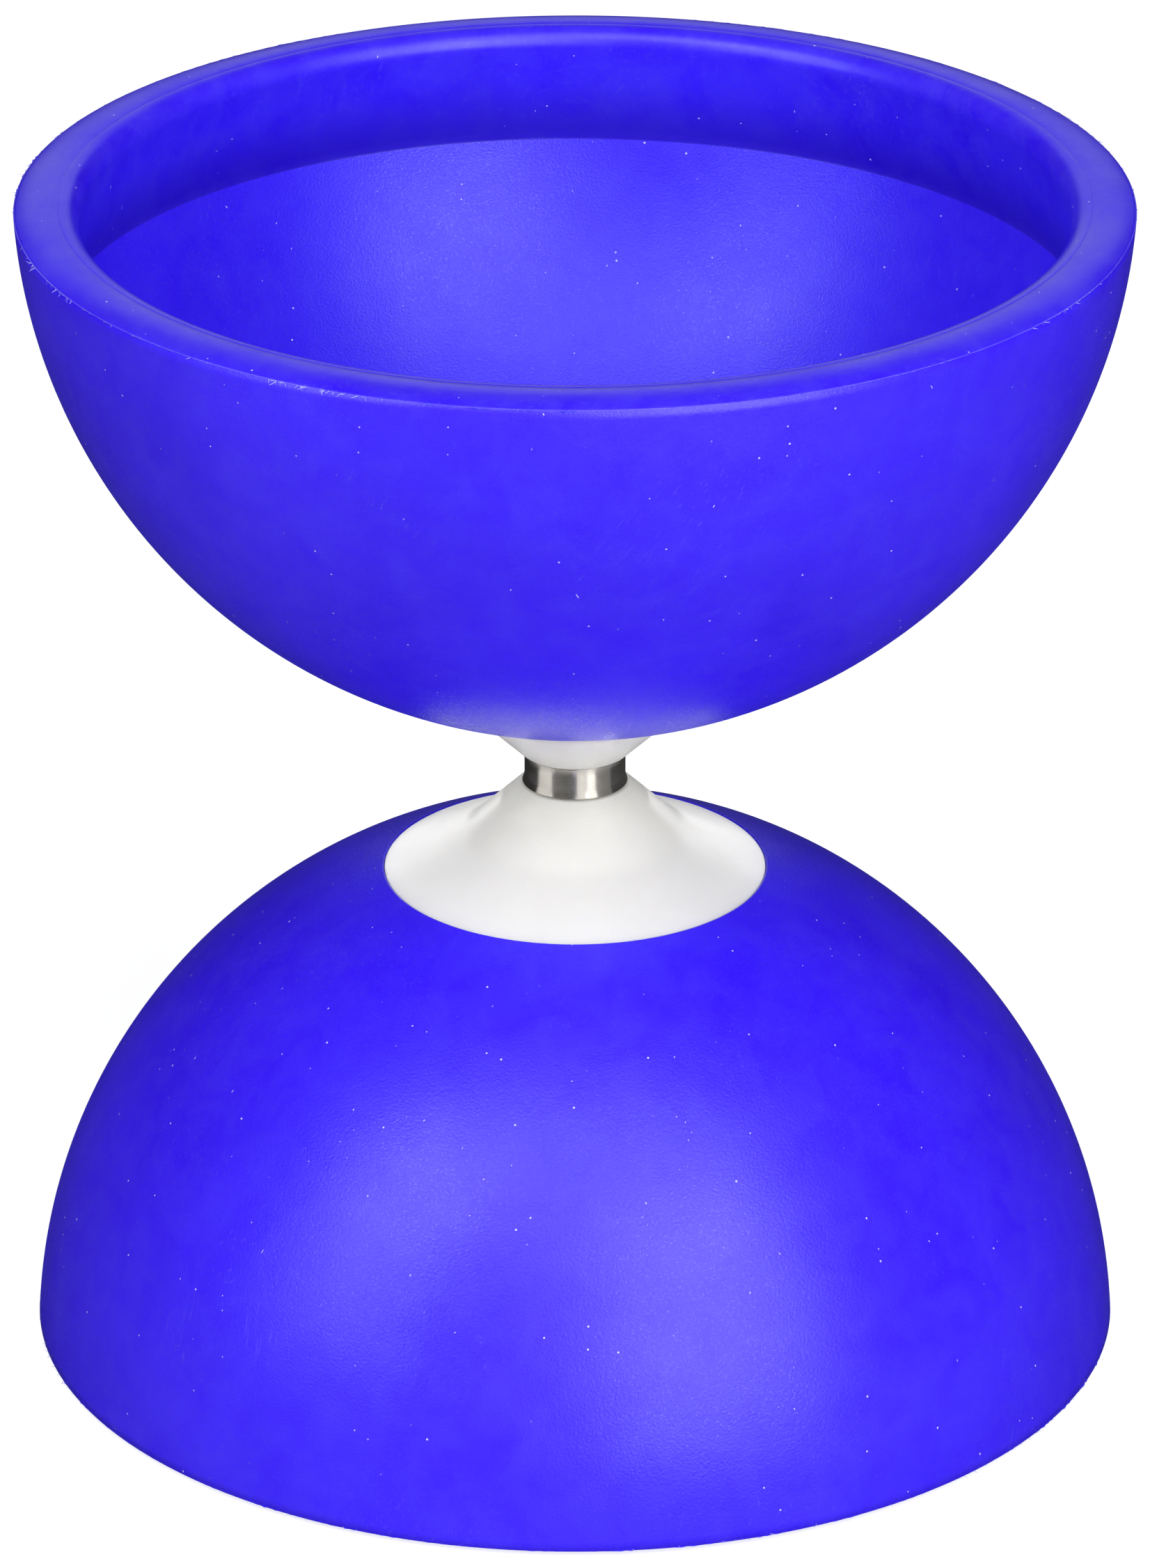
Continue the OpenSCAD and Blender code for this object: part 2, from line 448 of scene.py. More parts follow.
class Effect:
    """A shader node group that several finishes share, built once."""

    title: ClassVar[str]
    takes: ClassVar[dict[str, float]]
    gives: ClassVar[tuple[str, ...]]

    @classmethod
    def wire(cls, graph: Graph, given: Sockets) -> dict[str, Socket]:
        """Builds the inside of the group.

        Args:
            graph: the group's own graph.
            given: the group's inputs by name.

        Returns:
            The socket that feeds each output.
        """
        raise NotImplementedError

    @classmethod
    def tree(cls) -> bpy.types.NodeTree:
        """Finds the group's tree, or makes it at the first call.

        Returns:
            The tree.
        """
        found = bpy.data.node_groups.get(cls.title)
        if found:
            return found
        tree = bpy.data.node_groups.new(cls.title, "ShaderNodeTree")
        tree.interface.new_socket(name="Vector", in_out="INPUT", socket_type="NodeSocketVector")
        for name, value in cls.takes.items():
            socket = tree.interface.new_socket(name=name, in_out="INPUT", socket_type="NodeSocketFloat")
            socket.default_value = value
        for name in cls.gives:
            tree.interface.new_socket(name=name, in_out="OUTPUT", socket_type="NodeSocketFloat")
        entry = tree.nodes.new("NodeGroupInput")
        leave = tree.nodes.new("NodeGroupOutput")
        for name, socket in cls.wire(Graph(tree), {s.name: s for s in entry.outputs if s.name}).items():
            tree.links.new(socket, leave.inputs[name])
        return tree

    @classmethod
    def place(cls, graph: Graph, vector: Feed, **values: Feed) -> bpy.types.bpy_prop_collection:
        """Places the group in a material.

        Args:
            graph: the material's graph.
            vector: the coordinates that it reads.
            values: inputs by name, with underscores for spaces.

        Returns:
            The outputs of the placed group.
        """
        node = graph.place("Group", node_tree=cls.tree())
        graph.feed(node.inputs["Vector"], vector)
        for name, value in values.items():
            graph.feed(node.inputs[name.replace("_", " ").title()], value)
        return node.outputs


class MouldGrain(Effect):
    """The fine texture that an etched mould leaves."""

    title = "mould grain"
    takes = {"Size": 0.4 * MM, "Pits": 0.5}
    gives = ("Height", "Glint")

    @classmethod
    def wire(cls, graph: Graph, given: Sockets) -> dict[str, Socket]:
        """Builds soft bumps with sharper pits between them.

        Args:
            graph: the group's own graph.
            given: the group's inputs by name.

        Returns:
            The socket that feeds each output.
        """
        scale = graph.maths("DIVIDE", 1.0, given["Size"])
        bumps = graph.noise(given["Vector"], scale, detail=3.0, roughness=0.6)
        cells = graph.place("TexVoronoi", {"Vector": given["Vector"], "Scale": scale})
        pits = graph.maths("MULTIPLY", cells.outputs["Distance"], given["Pits"])
        finer = graph.noise(given["Vector"], graph.maths("MULTIPLY", scale, 1.7), 1.0)
        glint = graph.remap(finer, 0.56, 0.72)
        return {"Height": graph.maths("SUBTRACT", bumps, pits), "Glint": glint}


class Haze(Effect):
    """Broad cloudy patches, where handling has dulled or polished a surface."""

    title = "haze"
    takes = {"Patch": 25 * MM, "Contrast": 0.25}
    gives = ("Mask",)

    @classmethod
    def wire(cls, graph: Graph, given: Sockets) -> dict[str, Socket]:
        """Builds clouds of one size with finer clouds inside.

        Args:
            graph: the group's own graph.
            given: the group's inputs by name.

        Returns:
            The socket that feeds each output.
        """
        scale = graph.maths("DIVIDE", 1.0, given["Patch"])
        broad = graph.noise(given["Vector"], scale, detail=4.0, roughness=0.55, distortion=0.6)
        centred = graph.maths("SUBTRACT", broad, 0.5)
        gain = graph.maths("DIVIDE", 0.5, given["Contrast"])
        return {"Mask": graph.maths("MULTIPLY_ADD", centred, gain, 0.5, clamp=True)}


class Dust(Effect):
    """Scattered specks of dust and short fibres of lint."""

    title = "dust"
    takes = {"Spacing": 6 * MM, "Speck": 0.05}
    gives = ("Mask",)

    @classmethod
    def wire(cls, graph: Graph, given: Sockets) -> dict[str, Socket]:
        """Builds one speck in some cells, and slim cells for the lint.

        Args:
            graph: the group's own graph.
            given: the group's inputs by name.

        Returns:
            The socket that feeds each output.
        """
        scale = graph.maths("DIVIDE", 1.0, given["Spacing"])
        specks = graph.place("TexVoronoi", {"Vector": given["Vector"], "Scale": scale,
                                            "Randomness": 1.0})
        luck = graph.place("SeparateColor", {0: specks.outputs["Color"]}).outputs[0]
        size = graph.maths("MULTIPLY", graph.remap(luck, 0.45, 1.0), given["Speck"])
        masks = [graph.maths("LESS_THAN", specks.outputs["Distance"], size)]
        for turn in ((0.4, 1.1, 0.2), (1.3, 0.3, 2.0)):
            slim = graph.stretched(given["Vector"], turn, (0.14, 1.0, 1.0))
            lint = graph.place("TexVoronoi", {"Vector": slim, "Scale": scale, "Randomness": 1.0})
            draw = graph.place("SeparateColor", {0: lint.outputs["Color"]}).outputs[0]
            chosen = graph.maths("GREATER_THAN", draw, 0.8)
            width = graph.maths("MULTIPLY", given["Speck"], 0.45)
            thin = graph.maths("LESS_THAN", lint.outputs["Distance"], width)
            masks.append(graph.maths("MULTIPLY", chosen, thin))
        return {"Mask": graph.maths("MAXIMUM", graph.maths("MAXIMUM", masks[0], masks[1]), masks[2])}


class Scuffs(Effect):
    """Fine pale scratches that run in bundles."""

    title = "scuffs"
    takes = {"Width": 0.25 * MM, "Amount": 0.3}
    gives = ("Mask",)
    patches_a_metre: ClassVar[float] = 55.0

    @classmethod
    def wire(cls, graph: Graph, given: Sockets) -> dict[str, Socket]:
        """Builds two bundles of long thin marks, each in patches.

        Args:
            graph: the group's own graph.
            given: the group's inputs by name.

        Returns:
            The socket that feeds each output.
        """
        scale = graph.maths("DIVIDE", 1.0, given["Width"])
        total = None
        for turn, offset in (((0.3, 0.9, 0.5), 0.0), ((1.9, 0.2, 1.4), 3.7)):
            slim = graph.stretched(given["Vector"], turn, (0.02, 1.0, 1.0))
            marks = graph.remap(graph.noise(slim, scale, 1.0), 0.66, 0.74)
            moved = graph.vectors("ADD", given["Vector"], (offset, offset, offset))
            patches = graph.remap(graph.noise(moved, cls.patches_a_metre, 2.0), 0.52, 0.68)
            bundle = graph.maths("MULTIPLY", marks, patches)
            total = bundle if total is None else graph.maths("MAXIMUM", total, bundle)
        return {"Mask": graph.maths("MULTIPLY", total, given["Amount"])}


class RingBand(Effect):
    """A soft band round the spin axis, the same on both halves, such as a band of wear or the painted
    shade along a crease.
    """

    title = "ring band"
    takes = {"Radius": 65 * MM, "Height": 71 * MM, "Width": 0.5 * MM}
    gives = ("Mask",)

    @classmethod
    def wire(cls, graph: Graph, given: Sockets) -> dict[str, Socket]:
        """Builds a mask that fades with distance from a circle.

        Args:
            graph: the group's own graph.
            given: the group's inputs by name.

        Returns:
            The socket that feeds each output.
        """
        across, along = graph.polar(given["Vector"])
        off = graph.place("CombineXYZ", {0: graph.maths("SUBTRACT", across, given["Radius"]),
                                         1: graph.maths("SUBTRACT", along, given["Height"])}).outputs[0]
        share = graph.maths("DIVIDE", graph.vectors("LENGTH", off), given["Width"])
        return {"Mask": graph.remap(share, 0.0, 1.0, 1.0, 0.0)}


class TurnedLines(Effect):
    """Fine rings that a lathe tool leaves on a face or along a shaft."""

    title = "turned lines"
    takes = {"Pitch": 0.08 * MM, "Facing": 0.0}
    gives = ("Height",)

    @classmethod
    def wire(cls, graph: Graph, given: Sockets) -> dict[str, Socket]:
        """Builds lines along the height, or along the radius where Facing is 1.

        Args:
            graph: the group's own graph.
            given: the group's inputs by name.

        Returns:
            The socket that feeds each output.
        """
        across, along = graph.polar(given["Vector"])
        way = graph.place("Mix", {0: given["Facing"], 2: along, 3: across}, data_type="FLOAT")
        place = graph.maths("DIVIDE", way.outputs[0], given["Pitch"])
        line = graph.place("CombineXYZ", {0: place}).outputs[0]
        drift = graph.vectors("MULTIPLY", given["Vector"], (180.0, 180.0, 180.0))
        return {"Height": graph.noise(graph.vectors("ADD", line, drift), 1.0, 3.0, 0.7)}


# ---------------------------------------------------------------------------
# Finishes
# ---------------------------------------------------------------------------


def new_material(name: str) -> tuple[Material, Graph, bpy.types.Node, Socket]:
    """Makes an empty material.

    Args:
        name: the material's name.

    Returns:
        The material, its graph, its Principled shader and the object's own coordinates.
    """
    material = bpy.data.materials.new(name)
    material.use_nodes = True
    material.node_tree.nodes.clear()
    graph = Graph(material.node_tree)
    shader = graph.place("BsdfPrincipled")
    graph.place("OutputMaterial", {"Surface": shader.outputs[0]})
    return material, graph, shader, graph.place("TexCoord").outputs["Object"]


@dataclass(frozen=True)
class RubberFinish:
    """Soft blue moulding compound, from etched satin to a polished bead, with optional painted shade
    along the crease under the bead.
    """

    name: str
    deep: Colour = (0.026, 0.0022, 0.80)
    bright: Colour = (0.030, 0.0028, 0.90)
    bloom: Colour = (0.16, 0.14, 0.80)
    lint: Colour = (0.55, 0.52, 0.92)
    # Painted shade: the colour that a band round the crease darkens towards, standing in for the shadow
    # in the hollow under the bead; crease sets how strongly it is painted, crease_place and crease_width
    # where.
    painted_crease_shade: Colour = (0.012, 0.001, 0.34)
    crease: float = 0.0
    crease_place: Point = (60.1 * MM, 57 * MM)
    crease_width: float = 10 * MM
    roughness: tuple[float, float] = (0.33, 0.41)
    grain_size: float = 0.32 * MM
    grain_depth: float = 0.026 * MM
    pits: float = 0.5
    glint: float = 0.22
    # sparkle sets how strongly the grain's glints are painted into the colour as pale specks, a painted
    # highlight.
    sparkle: float = 0.13
    clouding: float = 0.11
    scuffs: float = 0.22
    dust: float = 0.075

    def material(self) -> Material:
        """Makes the material from this finish's values.

        Returns:
            The new material.
        """
        material, graph, shader, spot = new_material(self.name)
        haze = Haze.place(graph, spot, patch=26 * MM, contrast=0.22)["Mask"]
        fine_haze = Haze.place(graph, spot, patch=5 * MM, contrast=0.3)["Mask"]
        grain = MouldGrain.place(graph, spot, size=self.grain_size, pits=self.pits)
        scuffs = Scuffs.place(graph, spot, width=0.22 * MM, amount=self.scuffs)["Mask"]
        dust = Dust.place(graph, spot, spacing=1.7 * MM, speck=self.dust)["Mask"]
        body = graph.mix(haze, self.deep, self.bright)
        # Painted highlight: pale specks where the grain glints, standing in for sparkle; the scuffs and
        # clouding mixed in with them are real pale marks.
        painted_glints_and_scuffs = graph.maths("MULTIPLY_ADD", grain["Glint"], self.sparkle, scuffs)
        pale = graph.maths("MULTIPLY_ADD", fine_haze, self.clouding, painted_glints_and_scuffs, clamp=True)
        worn_with_painted_glints = graph.mix(pale, body, self.bloom)
        # Painted shade: darken the colour in a band round the crease, where the hollow under the bead
        # lies in shade.
        radius, height = self.crease_place
        crease = RingBand.place(graph, spot, radius=radius, height=height, width=self.crease_width)
        shaded = graph.mix(graph.maths("MULTIPLY", crease["Mask"], self.crease), worn_with_painted_glints, self.painted_crease_shade)
        graph.feed(shader.inputs["Base Color"], graph.mix(dust, shaded, self.lint))
        dull = graph.remap(haze, 0.0, 1.0, self.roughness[0], self.roughness[1])
        lively = graph.maths("MULTIPLY_ADD", grain["Glint"], -self.glint, dull)
        graph.feed(shader.inputs["Roughness"],
                   graph.maths("MULTIPLY_ADD", dust, 0.3, lively, clamp=True))
        bump = graph.place("Bump", {"Height": grain["Height"], "Distance": self.grain_depth,
                                    "Strength": 1.0})
        graph.feed(shader.inputs["Normal"], bump.outputs[0])
        shader.inputs["IOR"].default_value = 1.5
        return material


@dataclass(frozen=True)
class PlasticFinish:
    """Hard off-white moulding."""

    name: str
    clean: Colour = (0.82, 0.812, 0.745)
    shaded: Colour = (0.78, 0.772, 0.705)
    grime: Colour = (0.30, 0.29, 0.28)
    roughness: tuple[float, float] = (0.30, 0.40)
    string_wear: float = 0.10

    def material(self) -> Material:
        """Makes the material from this finish's values.

        Returns:
            The new material.
        """
        material, graph, shader, spot = new_material(self.name)
        haze = Haze.place(graph, spot, patch=7 * MM, contrast=0.3)["Mask"]
        grain = MouldGrain.place(graph, spot, size=0.3 * MM, pits=0.3)
        scuffs = Scuffs.place(graph, spot, width=0.16 * MM, amount=0.22)["Mask"]
        dust = Dust.place(graph, spot, spacing=5 * MM, speck=0.022)["Mask"]
        nose = RingBand.place(graph, spot, radius=6.4 * MM, height=2.1 * MM, width=3.4 * MM)["Mask"]
        rings = TurnedLines.place(graph, spot, pitch=0.12 * MM, facing=1.0)["Height"]
        rubbed = graph.maths("MULTIPLY", graph.remap(rings, 0.45, 0.7), nose)
        body = graph.mix(haze, self.clean, self.shaded)
        scratched = graph.maths("MULTIPLY", scuffs, 0.5)
        dirt = graph.maths("MULTIPLY_ADD", rubbed, self.string_wear, scratched)
        graph.feed(shader.inputs["Base Color"],
                   graph.mix(graph.maths("ADD", dirt, dust, clamp=True), body, self.grime))
        dull = graph.remap(haze, 0.0, 1.0, self.roughness[0], self.roughness[1])
        graph.feed(shader.inputs["Roughness"], graph.maths("MULTIPLY_ADD", grain["Glint"], -0.05, dull))
        marks = graph.maths("MULTIPLY_ADD", scuffs, -0.6, grain["Height"])
        bump = graph.place("Bump", {"Height": marks, "Distance": 0.006 * MM, "Strength": 1.0})
        graph.feed(shader.inputs["Normal"], bump.outputs[0])
        shader.inputs["Subsurface Weight"].default_value = 0.6
        shader.inputs["Subsurface Radius"].default_value = (1.0, 0.9, 0.8)
        shader.inputs["Subsurface Scale"].default_value = 3 * MM
        return material


@dataclass(frozen=True)
class MetalFinish:
    """Turned, plated or blackened steel."""

    name: str
    light: Colour = (0.66, 0.64, 0.61)
    dark: Colour = (0.46, 0.44, 0.42)
    roughness: tuple[float, float] = (0.16, 0.30)
    pitch: float = 0.07 * MM
    facing: float = 0.0
    line_depth: float = 0.0025 * MM
    patch: float = 3 * MM
    anisotropy: float = 0.5

    def material(self) -> Material:
        """Makes the material from this finish's values.

        Returns:
            The new material.
        """
        material, graph, shader, spot = new_material(self.name)
        haze = Haze.place(graph, spot, patch=self.patch, contrast=0.3)["Mask"]
        lines = TurnedLines.place(graph, spot, pitch=self.pitch, facing=self.facing)["Height"]
        scuffs = Scuffs.place(graph, spot, width=0.06 * MM, amount=0.5)["Mask"]
        tone = graph.maths("MULTIPLY_ADD", graph.remap(lines, 0.3, 0.7), 0.6,
                           graph.maths("MULTIPLY", haze, 0.4), clamp=True)
        graph.feed(shader.inputs["Base Color"], graph.mix(tone, self.light, self.dark))
        dull = graph.remap(tone, 0.0, 1.0, self.roughness[0], self.roughness[1])
        graph.feed(shader.inputs["Roughness"],
                   graph.maths("MULTIPLY_ADD", scuffs, 0.25, dull, clamp=True))
        marks = graph.maths("MULTIPLY_ADD", scuffs, -0.8, lines)
        bump = graph.place("Bump", {"Height": marks, "Distance": self.line_depth, "Strength": 1.0})
        graph.feed(shader.inputs["Normal"], bump.outputs[0])
        graph.feed(shader.inputs["Tangent"],
                   graph.place("Tangent", direction_type="RADIAL", axis="Z").outputs[0])
        shader.inputs["Metallic"].default_value = 1.0
        shader.inputs["Anisotropic"].default_value = self.anisotropy
        shader.inputs["Anisotropic Rotation"].default_value = 0.25
        return material


class Finish(Enum):
    """The toy's finishes, each named for the pieces that wear it."""

    BOWL_OUTSIDE = RubberFinish("bowl_outside")
    # The bead's finish paints shade along the crease under it.
    BOWL_BEAD = RubberFinish(
        "bowl_bead", roughness=(0.30, 0.42), grain_size=0.9 * MM, grain_depth=0.006 * MM, pits=0.1,
        glint=0.03, sparkle=0.08, clouding=0.22, scuffs=0.25, crease=0.65)
    BOWL_INSIDE = RubberFinish(
        "bowl_inside", roughness=(0.36, 0.44), grain_size=0.27 * MM, grain_depth=0.032 * MM, glint=0.26,
        sparkle=0.20, scuffs=0.15)
    FLASH = RubberFinish(
        "bowl_flash", deep=(0.03, 0.01, 0.76), bright=(0.14, 0.13, 0.82), bloom=(0.5, 0.5, 0.9),
        roughness=(0.5, 0.7), grain_size=0.5 * MM, scuffs=0.5)
    STRANDS = RubberFinish(
        "torn_flash", deep=(0.30, 0.30, 0.80), bright=(0.55, 0.55, 0.88), bloom=(0.7, 0.7, 0.9),
        roughness=(0.5, 0.7), grain_size=0.5 * MM)
    HUB = PlasticFinish("hub_white")
    CLAMP = PlasticFinish(
        "clamp_white", clean=(0.76, 0.76, 0.73), shaded=(0.70, 0.70, 0.66), roughness=(0.36, 0.48),
        string_wear=0.0)
    AXLE = MetalFinish(
        "turned_steel", light=(0.70, 0.68, 0.65), dark=(0.56, 0.54, 0.51), roughness=(0.26, 0.34),
        anisotropy=0.9)
    WASHER = MetalFinish(
        "zinc_washer", light=(0.66, 0.68, 0.70), dark=(0.50, 0.51, 0.52), roughness=(0.28, 0.42),
        pitch=0.15 * MM, facing=1.0, anisotropy=0.2)
    SPRING = MetalFinish(
        "spring_steel", light=(0.56, 0.56, 0.56), dark=(0.40, 0.40, 0.40), roughness=(0.30, 0.45),
        pitch=0.1 * MM, facing=1.0, anisotropy=0.3)
    SCREW = MetalFinish(
        "screw_steel", light=(0.58, 0.58, 0.59), dark=(0.42, 0.42, 0.43), roughness=(0.24, 0.38),
        pitch=0.09 * MM, facing=0.5, anisotropy=0.2)

    @cache
    def material(self) -> Material:
        """Returns the finish's material, made at the first call."""
        return self.value.material()


# ---------------------------------------------------------------------------
# The pieces of one half, and the axle
# ---------------------------------------------------------------------------


@dataclass
class Piece:
    """One piece that stands for one CAD node and rides on one body."""

    half: Half
    body: str
    node: ClassVar[str]
    slot: ClassVar[str]

    @property
    def node_name(self) -> str:
        """Name of the CAD node that the piece stands for."""
        return f"{self.half.value}_{self.node}"

    @property
    def low(self) -> float:
        """Height nearest the string, measured on the CAD node."""
        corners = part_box(self.node_name)
        return min(abs(corners[0].z), abs(corners[1].z))

    @property
    def high(self) -> float:
        """Height furthest from the string, measured on the CAD node."""
        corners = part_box(self.node_name)
        return max(abs(corners[0].z), abs(corners[1].z))

    def settle(self, piece: Solid, *finishes: Finish, replaces: bool = True) -> None:
        """Turns a piece over if it needs it, dresses it and makes it ride on its body.

        Args:
            piece: the new object, drawn as a piece of the upper half.
            finishes: one finish for each zone of its mesh.
            replaces: whether it stands for this class's CAD node.
        """
        piece.data.transform(self.half.turn())
        for finish in finishes:
            piece.data.materials.append(finish.material())
        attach(piece, self.body)
        if replaces:
            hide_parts(self.node_name)
        LOG.info("%s: %d faces, rides on %s", piece.name, len(piece.data.polygons), self.body)


@dataclass
class Pegs:
    """The moulded pegs that pass from the hub through the bowl's web into the clamp flange."""

    count: int = 3
    circle_radius: float = 15.5 * MM
    radius: float = 1.5 * MM
    slip: float = 0.1 * MM

    def centres(self) -> list[Vector]:
        """Returns a point on the axis of each peg."""
        return [Vector((self.circle_radius * math.cos(i * TAU / self.count),
                        self.circle_radius * math.sin(i * TAU / self.count), 0.0))
                for i in range(self.count)]


@dataclass
class Bowl(Piece):
    """A soft cup: thick bead, thin wall and flat web, with flash along the rim's sharp edge."""

    wall: float = 2.5 * MM
    web: float = 2.6 * MM
    arc_radius: float = 66.2 * MM
    arc_rise: float = 3.8 * MM
    bead_width: float = 7.5 * MM
    bead_depth: float = 14.7 * MM
    crown_drop: float = 0.8 * MM
    land_width: float = 1.5 * MM
    lip_rounding: float = 2.2 * MM
    edge_rounding: float = 0.25 * MM
    seam_height: float = 0.035 * MM
    flash_reach: float = 0.13 * MM
    flash_cover: float = 0.04 * MM
    strand_count: int = 110
    hub_radius: float = 22.75 * MM
    bore_radius: float = 9.05 * MM
    hub_thickness: float = 1.5 * MM
    segments: int = 288
    flash_segments: int = 1440
    join_gap: float = 0.004
    node: ClassVar[str] = "cup"
    slot: ClassVar[str] = "cup_rubber"

    def __post_init__(self) -> None:
        """Works out the places that both the bowl and its flash need."""
        self.rim = reach(self.node_name)
        self.crown = self.high
        self.edge = self.crown - self.crown_drop
        self.centre = (self.rim - math.sqrt(self.arc_radius ** 2 - self.arc_rise ** 2),
                       self.edge + self.arc_rise)

    def outline(self) -> Outline:
        """Draws the bowl's closed section.

        Returns:
            The section, with zone 0 outside, 1 on the bead and 2 inside.
        """
        inner = self.arc_radius - self.wall
        cx, cz = self.centre
        foot = self.low
        web_low = foot + self.hub_thickness
        web_high = web_low + self.web
        lip = (self.rim - self.bead_width + self.lip_rounding, self.crown - self.lip_rounding)
        land_end = lip[0] + self.land_width
        run = self.rim - land_end
        crown_radius = (run ** 2 + self.crown_drop ** 2) / (2 * self.crown_drop)
        crease_angle = math.asin((self.crown - self.bead_depth - cz) / inner)
        crease = Vector((cx + inner * math.cos(crease_angle), cz + inner * math.sin(crease_angle)))
        leave = crease - Vector(lip)
        lip_end = TAU + math.atan2(leave.y, leave.x) - math.acos(self.lip_rounding / leave.length)
        web_angle = math.asin((web_high - cz) / inner)
        foot_angle = -math.acos((self.hub_radius + self.edge_rounding - cx) / self.arc_radius)
        foot_end = (cx + self.arc_radius * math.cos(foot_angle),
                    cz + self.arc_radius * math.sin(foot_angle), 0.0)
        edge_angle = -math.asin(self.arc_rise / self.arc_radius)
        out = Outline()
        out.go((self.bore_radius, web_low)).run((self.hub_radius, web_low), 3)
        out.corners((self.hub_radius, web_low - 0.2 * MM, 0.0),
                    (self.hub_radius, foot, self.edge_rounding * 0.8), foot_end, steps=4)
        out.arc(self.centre, self.arc_radius, foot_angle + self.join_gap, edge_angle, 64)
        out.zone = 1
        out.arc((land_end, self.crown - crown_radius), crown_radius,
                math.atan2(self.edge - self.crown + crown_radius, run), math.pi / 2, 10)
        seam = lip[0] + 0.2 * MM
        out.go((seam + 0.08 * MM, self.crown), (seam, self.crown - self.seam_height),
               (seam - 0.08 * MM, self.crown - 0.01 * MM))
        out.arc(lip, self.lip_rounding, math.pi / 2, lip_end, 14)
        out.run((crease.x, crease.y), 12)
        out.zone = 2
        out.arc(self.centre, inner, crease_angle - self.join_gap, web_angle, 56)
        out.run((self.bore_radius, web_high), 6)
        return out

    def flash_outline(self) -> Outline:
        """Draws the thin fin that the mould's joint leaves round the rim's edge.

        Returns:
            The fin's closed section.
        """
        root = self.rim - 0.12 * MM
        base, tip = self.rim - self.flash_cover, self.rim - self.flash_cover / 2
        return Outline().go((root, self.edge - 0.06 * MM), (base, self.edge - 0.02 * MM),
                            (tip, self.edge), (base, self.edge + 0.02 * MM),
                            (root, self.edge + 0.05 * MM))

    def ragged_fin(self, radii: np.ndarray, heights: np.ndarray,
                   angles: np.ndarray) -> tuple[np.ndarray, np.ndarray]:
        """Tears the fin's tip unevenly.

        Args:
            radii: radius of each vertex.
            heights: height of each vertex; not used.
            angles: angle of each column.

        Returns:
            What to add to the radii and to the heights.
        """
        seed = 11 if self.half is Half.UPPER else 23
        torn = ragged(angles, seed, ((14, 0.7), (90, 0.8), (420, 1.0)))
        tip = np.clip((radii - self.rim + self.flash_cover) / (self.flash_cover / 2), 0.0, 1.0)
        out = tip * self.flash_reach * np.clip(1.5 * torn - 0.3, 0.0, 1.8)
        lift = tip * 0.06 * MM * ragged(angles, seed + 1, ((60, 0.8), (300, 1.0)))
        return out, lift

    def strands(self) -> Solid:
        """Makes the short hairs of torn flash that stand off the rim's edge, in a few clusters.

        Returns:
            One piece that holds all the hairs.
        """
        chance = np.random.default_rng(31 if self.half is Half.UPPER else 47)
        clusters = np.append(chance.uniform(0, TAU, 8), math.radians(202))
        vertices: list[Spot] = []
        faces: list[tuple[int, int, int]] = []
        for _ in range(self.strand_count):
            angle = clusters[chance.integers(len(clusters))] + chance.normal(0, 0.09)
            out = Vector((math.cos(angle), math.sin(angle), 0.0))
            side = Vector((-out.y, out.x, 0.0))
            root = out * self.rim + Vector((0.0, 0.0, self.edge))
            lean = out * chance.uniform(0.3, 1.0) + side * chance.normal(0, 0.9)
            tip = root + lean.normalized() * chance.uniform(0.2, 0.9) * MM
            tip.z -= chance.uniform(-0.1, 0.4) * MM
            middle = (root + tip) / 2 + side * chance.normal(0, 0.08) * MM
            first = len(vertices)
            for spot, width in ((root, 0.04 * MM), (middle, 0.028 * MM), (tip, 0.012 * MM)):
                for turn in (0.0, TAU / 3, 2 * TAU / 3):
                    around = side * math.cos(turn) + Vector((0.0, 0.0, math.sin(turn)))
                    vertices.append(tuple(spot + around * width))
            for row in (first, first + 3):
                for k in range(3):
                    low, high = row + k, row + (k + 1) % 3
                    faces += [(low, high, high + 3), (low, high + 3, low + 3)]
            faces += [(first, first + 2, first + 1), (first + 6, first + 7, first + 8)]
        return make_mesh(f"{self.half.value}_rim_strands", vertices, faces, [0] * len(faces), 60.0)

    def build(self) -> None:
        """Builds the bowl and its flash."""
        bowl = spin(f"{self.half.value}_bowl", self.outline(), self.segments)
        pegs = Pegs()
        drill(bowl, pegs.centres(), pegs.radius + pegs.slip, self.low, self.low + 8 * MM)
        self.settle(bowl, Finish.BOWL_OUTSIDE, Finish.BOWL_BEAD, Finish.BOWL_INSIDE)
        flash = spin(f"{self.half.value}_rim_flash", self.flash_outline(),
                     self.flash_segments, self.ragged_fin)
        self.settle(flash, Finish.FLASH, replaces=False)
        self.settle(self.strands(), Finish.STRANDS, replaces=False)


